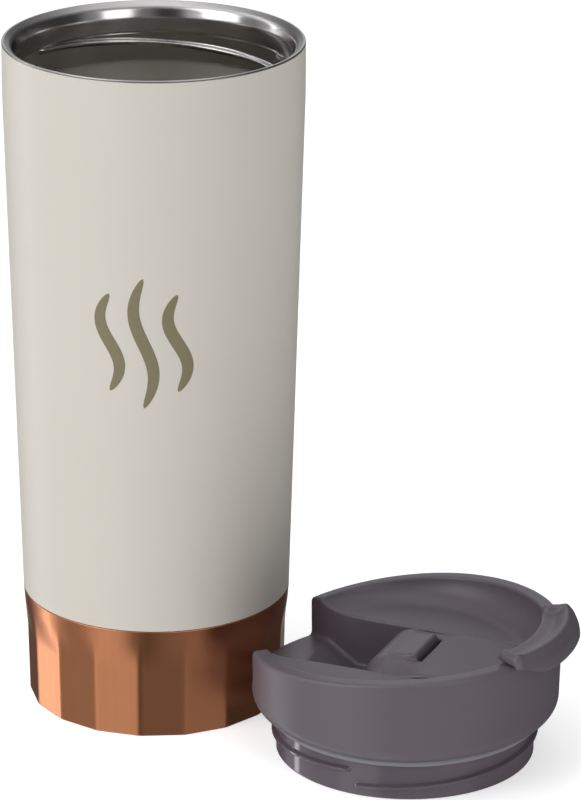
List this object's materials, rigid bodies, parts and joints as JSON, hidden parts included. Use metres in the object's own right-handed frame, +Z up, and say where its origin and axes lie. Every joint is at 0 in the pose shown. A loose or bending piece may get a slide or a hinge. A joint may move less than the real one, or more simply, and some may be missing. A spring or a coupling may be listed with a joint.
{
  "type": "insulated tumbler with lid",
  "caption": "Double-walled vacuum drinking tumbler with a faceted metal foot, standing beside its screw lid, whose hinged flap closes the drinking hole.",
  "frame": {"origin": "centre of the tumbler's foot, on the surface it stands on", "axes": "+Z up along the tumbler's axis, +X towards the side where the lid stands, -Y towards the front"},
  "size_m": [0.1534, 0.1202, 0.1848],
  "materials": {
    "coated_steel": "satin powder coat, warm off-white",
    "bare_steel": "brushed stainless steel, polished at the lip",
    "copper_plate": "copper plating over steel, satin, brushed upright",
    "braze": "dull",
    "getter_metal": "sintered, dull",
    "lid_matte": "fine matte moulded texture, warm purple grey",
    "lid_gloss": "smooth glossy moulding, warm purple grey",
    "silicone": "soft satin silicone, bluish grey"
  },
  "bodies": {
    "tumbler": {"outer_wall": "coated_steel", "inner_liner": "bare_steel", "base_sleeve": "copper_plate", "foot_cap": "copper_plate", "outer_bottom": "bare_steel", "vacuum_seal": "braze", "getter": "getter_metal", "getter_clip": "bare_steel"},
    "gasket": {"lid_gasket": "silicone"},
    "lid": {"lid_shell": "lid_matte", "lid_plug": "lid_gloss", "hinge_pin": "bare_steel"},
    "flap": {"flap": "lid_matte", "spout_seal": "silicone", "vent_seal": "silicone"}
  },
  "joints": [
    {"name": "lid_lift", "type": "slide", "parent": "tumbler", "child": "gasket", "axis": [0.4337, -0.2487, 0.866], "range_m": [0, 0.18]},
    {"name": "lid_turn", "type": "hinge", "parent": "gasket", "child": "lid", "pos_m": [0.06775, -0.03885, 0], "axis": [0, 0, 1], "range_deg": [-120, 0]},
    {"name": "flap_hinge", "type": "hinge", "parent": "lid", "child": "flap", "pos_m": [0.06591, -0.03807, 0.0237], "axis": [-0.3891, -0.9212, 0], "range_deg": [0, 120]}
  ]
}
